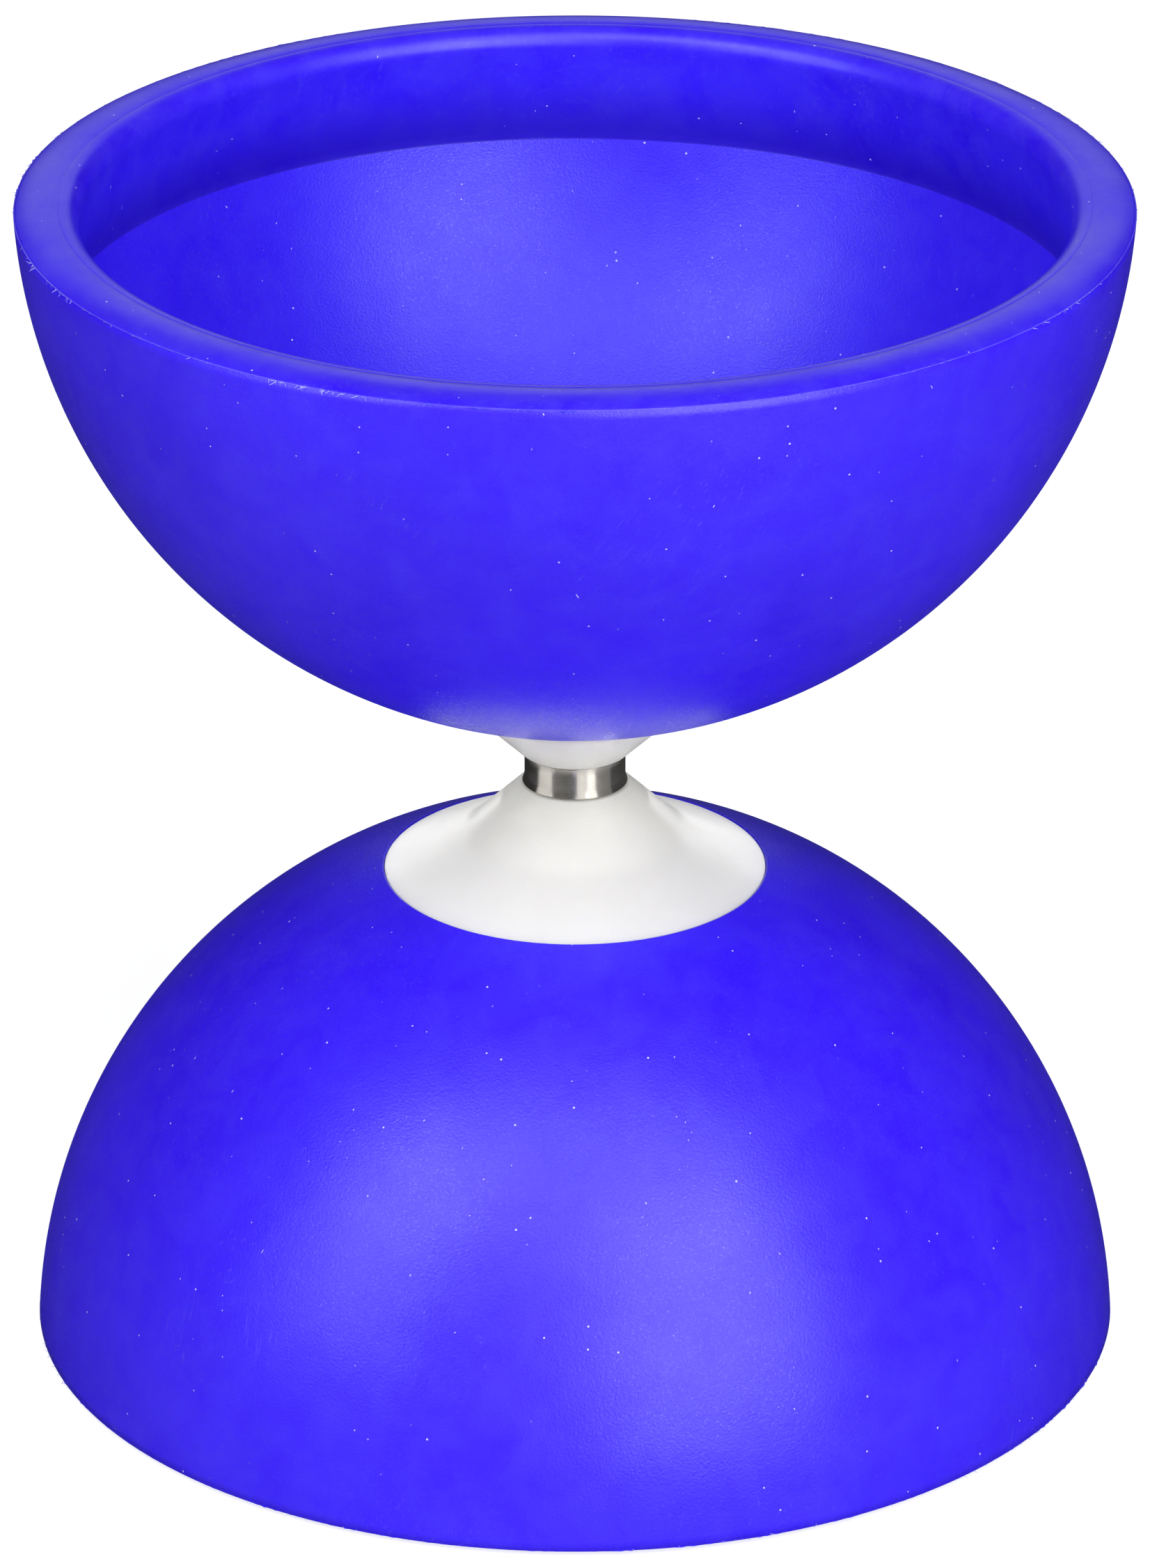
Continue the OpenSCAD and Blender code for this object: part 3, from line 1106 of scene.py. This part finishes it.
@dataclass
class HubCone(Piece):
    """The white cone beside the string, with a hexagon pocket and pegs on its back."""

    nose_radius: float = 6.5 * MM
    nose_angle: float = math.radians(43.8)
    nose_rounding: float = 0.15 * MM
    knee_radius: float = 13.2 * MM
    knee_rounding: float = 7 * MM
    edge_thickness: float = 1.3 * MM
    edge_rounding: float = 0.18 * MM
    boss_radius: float = 9 * MM
    pocket_flats: float = 9.1 * MM
    pocket_depth: float = 6 * MM
    bore_radius: float = 4.45 * MM
    segments: int = 192
    node: ClassVar[str] = "hub_cone"
    slot: ClassVar[str] = "hub_plastic"

    def outline(self, web_low: float, boss_top: float) -> Outline:
        """Draws the hub's closed section.

        Args:
            web_low: height of the hub's flat back.
            boss_top: height of the boss that centres the bowl.

        Returns:
            The section, from the nose round to the bore.
        """
        nose, brim = self.low, reach(self.node_name)
        edge = web_low - self.edge_thickness
        climb = math.tan(self.nose_angle)
        knee = (self.knee_radius, nose + (self.knee_radius - self.nose_radius) * climb)
        slope = (edge - knee[1]) / (brim - knee[0])
        bottom = nose + self.pocket_depth
        out = Outline()
        out.section = Section.HEXAGON
        out.go((self.pocket_flats / 2, bottom)).run((self.pocket_flats / 2, nose + 0.2 * MM), 3)
        out.go((self.pocket_flats / 2 + 0.15 * MM, nose))
        out.section = Section.ROUND
        out.corners((self.nose_radius - 0.7 * MM, nose, 0.0),
                    (self.nose_radius, nose, self.nose_rounding),
                    (knee[0] - 4 * MM, knee[1] - 4 * MM * climb, 0.0), steps=4)
        out.corners((knee[0] - 3.6 * MM, knee[1] - 3.6 * MM * climb, 0.0),
                    (*knee, self.knee_rounding), (brim - 3 * MM, edge - 3 * MM * slope, 0.0), steps=12)
        out.corners((brim - 2 * MM, edge - 2 * MM * slope, 0.0),
                    (brim, edge, self.edge_rounding), (brim, web_low, 0.15 * MM),
                    (self.boss_radius, web_low, 0.2 * MM), (self.boss_radius, boss_top, 0.4 * MM),
                    (self.bore_radius, boss_top, 0.2 * MM), (self.bore_radius, bottom, 0.0), steps=4)
        return out

    def build(self) -> None:
        """Builds the hub and its pegs."""
        flange_low = min(abs(corner.z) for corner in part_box(f"{self.half.value}_clamp_flange"))
        web_low = flange_low - Bowl.web
        section = self.outline(web_low, flange_low + 0.6 * MM)
        self.settle(spin(f"{self.half.value}_hub", section, self.segments), Finish.HUB)
        pegs = Pegs()
        foot = web_low - 0.5 * MM
        for number, centre in enumerate(pegs.centres(), 1):
            peg = Outline().corners((0.0, foot, 0.0), (pegs.radius, foot, 0.1 * MM),
                                    (pegs.radius, self.high, 0.35 * MM), (0.0, self.high, 0.0))
            piece = spin(f"{self.half.value}_hub_peg_{number}", peg, PEG_SEGMENTS, closed=False)
            piece.data.transform(Matrix.Translation(centre))
            self.settle(piece, Finish.HUB, replaces=False)


@dataclass
class ClampFlange(Piece):
    """The white plate inside the bowl that the screw pulls down on the web."""

    seat_radius: float = 10.8 * MM
    edge_thickness: float = 1.8 * MM
    hole_radius: float = 3.4 * MM
    pocket_radius: float = 9.1 * MM
    pocket_depth: float = 1.1 * MM
    hole_depth: float = 1.5 * MM
    segments: int = 144
    node: ClassVar[str] = "clamp_flange"
    slot: ClassVar[str] = "hub_plastic"

    def outline(self) -> Outline:
        """Draws the flange's closed section.

        Returns:
            The section, from the pocket round to the screw's hole.
        """
        low, high, brim = self.low, self.high, reach(self.node_name)
        step = low + self.edge_thickness
        return Outline().corners(
            (self.pocket_radius, low + self.pocket_depth, 0.0), (self.pocket_radius, low, 0.2 * MM),
            (brim, low, 0.2 * MM), (brim, step, 0.9 * MM), (brim - 2.2 * MM, step + 0.15 * MM, 0.3 * MM),
            (brim - 3.0 * MM, step - 0.1 * MM, 0.4 * MM), (brim - 3.8 * MM, step + 0.25 * MM, 0.4 * MM),
            (self.seat_radius + 1.2 * MM, high - 0.6 * MM, 0.8 * MM),
            (self.seat_radius + 0.1 * MM, high, 0.4 * MM), (self.hole_radius, high, 0.25 * MM),
            (self.hole_radius, low + self.pocket_depth, 0.0), steps=4)

    def build(self) -> None:
        """Builds the flange with its blind peg holes."""
        flange = spin(f"{self.half.value}_clamp_plate", self.outline(), self.segments)
        pegs = Pegs()
        drill(flange, pegs.centres(), pegs.radius + pegs.slip, self.low - 1 * MM,
              self.low + self.hole_depth)
        self.settle(flange, Finish.CLAMP)


@dataclass
class FlatWasher(Piece):
    """A plated washer with a rolled upper edge and a sharp lower one."""

    hole_radius: float = 3.4 * MM
    segments: int = 128
    node: ClassVar[str] = "flat_washer"
    slot: ClassVar[str] = "plated_steel"

    def build(self) -> None:
        """Builds the washer."""
        low, high, brim = self.low, self.high, reach(self.node_name)
        middle = (self.hole_radius + brim) / 2
        out = Outline().corners(
            (middle, low, 0.0), (brim, low, 0.06 * MM), (brim, high, 0.4 * MM),
            (self.hole_radius, high, 0.25 * MM), (self.hole_radius, low, 0.06 * MM),
            (middle, low, 0.0), steps=4)
        out.rings.pop()
        self.settle(spin(f"{self.half.value}_plain_washer", out, self.segments), Finish.WASHER)


@dataclass
class LockWasher(Piece):
    """A split spring washer, pressed flat under the screw's head."""

    hole_radius: float = 3.2 * MM
    gap: float = 0.8 * MM
    slant: float = math.radians(25)
    steps: int = 110
    node: ClassVar[str] = "lock_washer"
    slot: ClassVar[str] = "spring_steel"

    def section(self) -> list[Point]:
        """Draws the rounded section of the wire.

        Returns:
            (radius, height) of each point round the section.
        """
        low, high, brim = self.low, self.high, reach(self.node_name)
        middle = (self.hole_radius + brim) / 2
        path = Outline().corners((middle, low, 0.0), (brim, low, 0.12 * MM), (brim, high, 0.18 * MM),
                                 (self.hole_radius, high, 0.18 * MM), (self.hole_radius, low, 0.12 * MM),
                                 (middle, low, 0.0))
        return [(ring.radius, ring.height) for ring in path.rings[:-1]]

    def build(self) -> None:
        """Sweeps the section round, with both cut ends leaning by the slant."""
        section = self.section()
        middle = (self.low + self.high) / 2
        vertices: list[Spot] = []
        for i in range(self.steps + 1):
            share = i / self.steps
            for radius, height in section:
                lean = (height - middle) * math.tan(self.slant)
                start = math.asin((self.gap / 2 - lean) / radius)
                end = TAU - math.asin((self.gap / 2 + lean) / radius)
                angle = start + (end - start) * share
                vertices.append((radius * math.cos(angle), radius * math.sin(angle), height))
        count = len(section)
        faces = [[i * count + j, i * count + (j + 1) % count,
                  (i + 1) * count + (j + 1) % count, (i + 1) * count + j]
                 for i in range(self.steps) for j in range(count)]
        faces += [list(range(count)), [self.steps * count + j for j in range(count)]]
        ring = make_mesh(f"{self.half.value}_spring_washer", vertices, faces, [0] * len(faces), 38.0)
        self.settle(ring, Finish.SPRING)


@dataclass
class ClampScrew(Piece):
    """A socket head cap screw with a rolled thread and a knurled head."""

    major: float = 2.96 * MM
    pitch: float = 1.0 * MM
    thread_depth: float = 0.58 * MM
    head_height: float = 6 * MM
    socket_flats: float = 5 * MM
    socket_depth: float = 3 * MM
    tip: float = 0.8 * MM
    rings_a_turn: int = 7
    segments: int = 144
    node: ClassVar[str] = "screw"
    slot: ClassVar[str] = "screw_steel"

    def outline(self) -> Outline:
        """Draws the screw's section.

        Returns:
            The section, from the middle of its tip to the middle of its socket.
        """
        low, high, head = self.low, self.high, reach(self.node_name)
        under = high - self.head_height
        flat = self.socket_flats / 2
        floor = high - self.socket_depth
        out = Outline().go((0.0, low), (self.major - self.tip, low), (self.major, low + self.tip))
        out.run((self.major, under - 0.5 * MM), round((under - low) / self.pitch * self.rings_a_turn))
        out.go((self.major, under - 0.25 * MM), (self.major + 0.3 * MM, under))
        out.corners((head - 1.2 * MM, under, 0.0), (head - 0.05 * MM, under, 0.25 * MM),
                    (head - 0.05 * MM, under + 0.5 * MM, 0.0))
        out.section = Section.KNURLED
        out.go((head, under + 0.7 * MM)).run((head, high - 1.4 * MM), 3)
        out.section = Section.ROUND
        out.corners((head - 0.08 * MM, high - 1.2 * MM, 0.0),
                    (head - 0.08 * MM, high - 0.1 * MM, 0.8 * MM), (flat * 1.22, high, 0.0), steps=5)
        out.go((flat * 1.18, high - 0.08 * MM))
        out.section = Section.HEXAGON
        out.go((flat, high - 0.4 * MM)).run((flat, floor), 3)
        out.section = Section.ROUND
        out.go((flat * 0.96, floor - 0.02 * MM), (0.0, floor - 0.8 * MM))
        return out

    def thread(self, radii: np.ndarray, heights: np.ndarray,
               angles: np.ndarray) -> tuple[np.ndarray, np.ndarray]:
        """Cuts a right-hand thread into the shank.

        Args:
            radii: radius of each vertex.
            heights: height of each vertex.
            angles: angle of each column.

        Returns:
            What to add to the radii and to the heights.
        """
        start, end = self.low + 0.1 * MM, self.high - self.head_height - 0.8 * MM
        phase = np.mod(heights / self.pitch - angles / TAU, 1.0)
        away = np.abs(phase - 0.5) * 2
        groove = np.clip((away - 0.12) / 0.70, 0.0, 1.0)
        begun = np.clip((heights - start) / (0.4 * MM), 0, 1)
        fade = begun * np.clip((end - heights) / (0.8 * MM), 0, 1)
        on_shank = radii < self.major + 0.01 * MM
        cut = np.where(on_shank & (radii > 2.0 * MM), groove * fade * self.thread_depth, 0.0)
        return -cut, np.zeros_like(heights)

    def build(self) -> None:
        """Builds the screw."""
        screw = spin(f"{self.half.value}_cap_screw", self.outline(), self.segments, self.thread,
                     closed=False)
        self.settle(screw, Finish.SCREW)


@dataclass
class Axle:
    """The one-piece steel axle: string neck, flared shoulders, drive hexagons and tapped ends."""

    body: str = "spool"
    neck_radius: float = 6 * MM
    neck_straight: float = 1.6 * MM
    shoulder: float = 2.1 * MM
    chamfer: float = 0.22 * MM
    drive_flats: float = 9 * MM
    drive_length: float = 6 * MM
    shank_radius: float = 4.4 * MM
    hole_radius: float = 3.05 * MM
    hole_floor: float = 2.72 * MM
    segments: int = 192

    def half_outline(self) -> list[Ring]:
        """Draws the upper half of the axle.

        Returns:
            The rings from the middle of the neck to the middle of the upper blind hole.
        """
        flare, end = reach("axle"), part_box("axle")[1].z
        start = self.neck_straight / 2
        run = self.shoulder - self.chamfer - start
        rise = flare - self.neck_radius
        fillet = (run ** 2 + rise ** 2) / (2 * rise)
        top = self.shoulder - self.chamfer
        out = Outline().go((self.neck_radius, 0.0)).run((self.neck_radius, start), 4)
        straight = len(out.rings)
        out.arc((self.neck_radius + fillet, start), fillet, math.pi,
                math.pi - math.asin(run / fillet), 9)
        out.rings.pop(straight)
        out.corners((flare, top - 0.03 * MM, 0.0), (flare, top + 0.02 * MM, 0.02 * MM),
                    (flare - self.chamfer, self.shoulder, 0.03 * MM),
                    (flare - 0.7 * MM, self.shoulder, 0.0))
        drive_end = self.shoulder + self.drive_length
        out.section = Section.HEXAGON
        out.go((self.drive_flats / 2, self.shoulder)).run((self.drive_flats / 2, drive_end), 2)
        out.section = Section.ROUND
        out.go((self.shank_radius, drive_end))
        out.corners((self.shank_radius, end - 1 * MM, 0.0),
                    (self.shank_radius, end - 0.4 * MM, 0.1 * MM),
                    (self.shank_radius - 0.4 * MM, end, 0.1 * MM),
                    (self.hole_radius + 0.3 * MM, end, 0.05 * MM),
                    (self.hole_radius, end - 0.3 * MM, 0.05 * MM),
                    (self.hole_radius, self.hole_floor, 0.0))
        out.go((0.0, self.hole_floor - 1 * MM))
        return out.rings

    def build(self) -> None:
        """Builds the axle."""
        upper = self.half_outline()
        lower = [Ring(ring.radius, -ring.height, ring.section, ring.zone)
                 for ring in reversed(upper[1:])]
        axle = spin("turned_axle", Outline(rings=lower + upper), self.segments, closed=False, sharp=30.0)
        axle.data.materials.append(Finish.AXLE.material())
        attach(axle, self.body)
        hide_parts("axle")
        LOG.info("%s: %d faces, rides on %s", axle.name, len(axle.data.polygons), self.body)


@dataclass
class HalfToy:
    """Everything that the screw of one half clamps together."""

    half: Half

    def build(self) -> None:
        """Builds the six kinds of piece of this half."""
        end = self.half.value
        for kind, body in ((Bowl, "spool"), (HubCone, "spool"), (ClampFlange, "spool"),
                           (FlatWasher, f"{end}_washers"), (LockWasher, f"{end}_washers"),
                           (ClampScrew, f"{end}_clamp_screw")):
            kind(half=self.half, body=body).build()


# ---------------------------------------------------------------------------
# Studio
# ---------------------------------------------------------------------------


@dataclass(frozen=True)
class Softbox:
    """A rectangular soft light that faces the toy."""

    name: str
    azimuth: float
    elevation: float
    distance: float
    width: float
    height: float
    power: float
    only: tuple[str, ...] = ()

    def build(self) -> None:
        """Places the light; azimuth 0 is the camera's side, in degrees, and grows to the right."""
        around, up = math.radians(self.azimuth), math.radians(self.elevation)
        away = Vector((math.sin(around) * math.cos(up), -math.cos(around) * math.cos(up), math.sin(up)))
        data = bpy.data.lights.new(self.name, "AREA")
        data.shape, data.size, data.size_y = "RECTANGLE", self.width, self.height
        data.energy = self.power
        light = bpy.data.objects.new(self.name, data)
        light.location = away * self.distance
        light.rotation_mode = "QUATERNION"
        light.rotation_quaternion = (-away).to_track_quat("-Z", "Y")
        bpy.context.scene.collection.objects.link(light)
        if self.only:
            lit = bpy.data.collections.new(f"{self.name}_receivers")
            for name in self.only:
                lit.objects.link(bpy.data.objects[name])
            light.light_linking.receiver_collection = lit


@dataclass(frozen=True)
class Card:
    """A small curved card close to the neck, which only polished surfaces show."""

    name: str
    start: float
    end: float
    glow: float
    radius: float = 9.8 * MM
    low: float = -4.2 * MM
    high: float = 3.2 * MM
    degrees_a_face: float = 4.0

    def build(self) -> None:
        """Stands the card; its angles are in degrees, 0 on the camera's side, and grow to the right."""
        count = max(2, round((self.end - self.start) / self.degrees_a_face))
        vertices: list[Spot] = []
        for i in range(count + 1):
            angle = math.radians(self.start + (self.end - self.start) * i / count)
            spot = (self.radius * math.sin(angle), -self.radius * math.cos(angle))
            vertices += [(*spot, self.low), (*spot, self.high)]
        faces = [(2 * i, 2 * i + 1, 2 * i + 3, 2 * i + 2) for i in range(count)]
        card = make_mesh(self.name, vertices, faces, [0] * count, 180.0)
        material, _, shader, _ = new_material(self.name)
        shader.inputs["Base Color"].default_value = (0.0, 0.0, 0.0, 1.0)
        shader.inputs["Specular IOR Level"].default_value = 0.0
        shader.inputs["Emission Color"].default_value = (1.0, 0.98, 0.93, 1.0)
        shader.inputs["Emission Strength"].default_value = self.glow
        card.data.materials.append(material)
        card.visible_camera = card.visible_diffuse = card.visible_shadow = False
        card.visible_transmission = card.visible_volume_scatter = False
        card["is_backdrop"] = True


@dataclass(frozen=True)
class Studio:
    """Camera, pale floor and soft lights."""

    camera_distance: float = 1.181
    camera_elevation: float = 23.766
    camera_pitch: float = 23.883
    lens: float = 228.5
    sensor: float = 36.0
    floor_size: float = 12.0
    floor_tone: float = 0.60
    floor_reflected: float = 0.05
    paper_lift: float = 0.72
    room_glow: float = 0.06
    glossy_dimming: float = 0.045
    softboxes: tuple[Softbox, ...] = (
        Softbox("right_softbox", 28, 18, 1.1, 0.91, 1.07, 11.9),
        Softbox("left_softbox", -52, 31, 1.1, 0.62, 0.95, 5.0),
        Softbox("overhead_softbox", 0, 58, 1.2, 2.0, 0.70, 10.0),
        Softbox("back_softbox", 180, 22, 1.5, 0.9, 0.7, 1.4),
        Softbox("hub_fill_left", -98, 8, 0.9, 0.9, 0.8, 2.3, HUBS),
        Softbox("hub_fill_right", 105, 8, 0.9, 0.9, 0.8, 0.5, HUBS),
        Softbox("hub_fill_back", 180, 12, 0.9, 1.2, 0.6, 6.0, HUBS),
        Softbox("hub_fill_front", 0, 2, 0.9, 0.9, 0.12, 1.0, ("upper_hub",)),
    )
    cards: tuple[Card, ...] = (
        Card("dark_left", -143, -68, 0.03),
        Card("bright_left", -65, -38, 0.95),
        Card("dark_middle", -36, -4, 0.12),
        Card("pale_middle", 3, 17, 1.0),
        Card("bright_right", 19, 33, 1.6),
        Card("grey_right", 34, 63, 0.24),
        Card("dark_right", 66, 143, 0.06),
    )

    def camera(self) -> None:
        """Places the camera at the height and distance of a low three-quarter view from above."""
        data = bpy.data.cameras.new("camera")
        data.lens, data.sensor_width = self.lens, self.sensor
        data.clip_start, data.clip_end = 0.05, 50.0
        camera = bpy.data.objects.new("camera", data)
        up = math.radians(self.camera_elevation)
        camera.location = (0.0, -self.camera_distance * math.cos(up),
                           self.camera_distance * math.sin(up))
        camera.rotation_euler = (math.pi / 2 - math.radians(self.camera_pitch), 0.0, 0.0)
        bpy.context.scene.collection.objects.link(camera)
        bpy.context.scene.camera = camera

    def floor(self) -> None:
        """Lays a plain pale floor under the lower rim."""
        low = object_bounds()[0].z
        half = self.floor_size / 2
        mesh = bpy.data.meshes.new("floor")
        corners = ((-half, -half), (half, -half), (half, half), (-half, half))
        mesh.from_pydata([(x, y, low) for x, y in corners], [], [(0, 1, 2, 3)])
        material, graph, shader, _ = new_material("floor_paper")
        rays = graph.place("LightPath").outputs
        tone = graph.mix(rays["Is Glossy Ray"], (self.floor_tone,) * 3, (self.floor_reflected,) * 3)
        graph.feed(shader.inputs["Base Color"], tone)
        shader.inputs["Roughness"].default_value = 0.9
        shader.inputs["Specular IOR Level"].default_value = 0.0
        shader.inputs["Emission Color"].default_value = (1.0, 1.0, 1.0, 1.0)
        lift = graph.maths("MULTIPLY", rays["Is Camera Ray"], self.paper_lift)
        graph.feed(shader.inputs["Emission Strength"], lift)
        mesh.materials.append(material)
        floor = bpy.data.objects.new("floor", mesh)
        bpy.context.scene.collection.objects.link(floor)
        floor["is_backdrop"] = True

    def world(self) -> None:
        """Lights the room evenly and shows it white."""
        world = bpy.data.worlds.new("studio")
        world.use_nodes = True
        world.node_tree.nodes.clear()
        graph = Graph(world.node_tree)
        rays = graph.place("LightPath").outputs
        glow = graph.place("Background", {"Color": (0.95, 0.97, 1.0)})
        graph.feed(glow.inputs["Strength"],
                   graph.maths("MULTIPLY_ADD", rays["Is Glossy Ray"], -self.glossy_dimming,
                               self.room_glow))
        shown = graph.place("Background", {"Color": (1.0, 1.0, 1.0), "Strength": 1.0})
        both = graph.place("MixShader", {0: rays["Is Camera Ray"], 1: glow.outputs[0],
                                         2: shown.outputs[0]})
        graph.place("OutputWorld", {"Surface": both.outputs[0]})
        bpy.context.scene.world = world

    def build(self) -> None:
        """Builds the whole studio."""
        self.camera()
        self.floor()
        self.world()
        for part in (*self.softboxes, *self.cards):
            part.build()
        settings = bpy.context.scene.view_settings
        settings.view_transform, settings.look, settings.exposure = "Standard", "None", 0.0
        LOG.info("studio: %d softboxes and %d cards", len(self.softboxes), len(self.cards))


def main() -> None:
    """Builds the toy and its studio."""
    logging.basicConfig(level=logging.INFO, format="%(name)s %(message)s")
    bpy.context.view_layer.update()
    Axle().build()
    for half in Half:
        HalfToy(half).build()
    Studio().build()


if __name__ == "__main__":
    main()
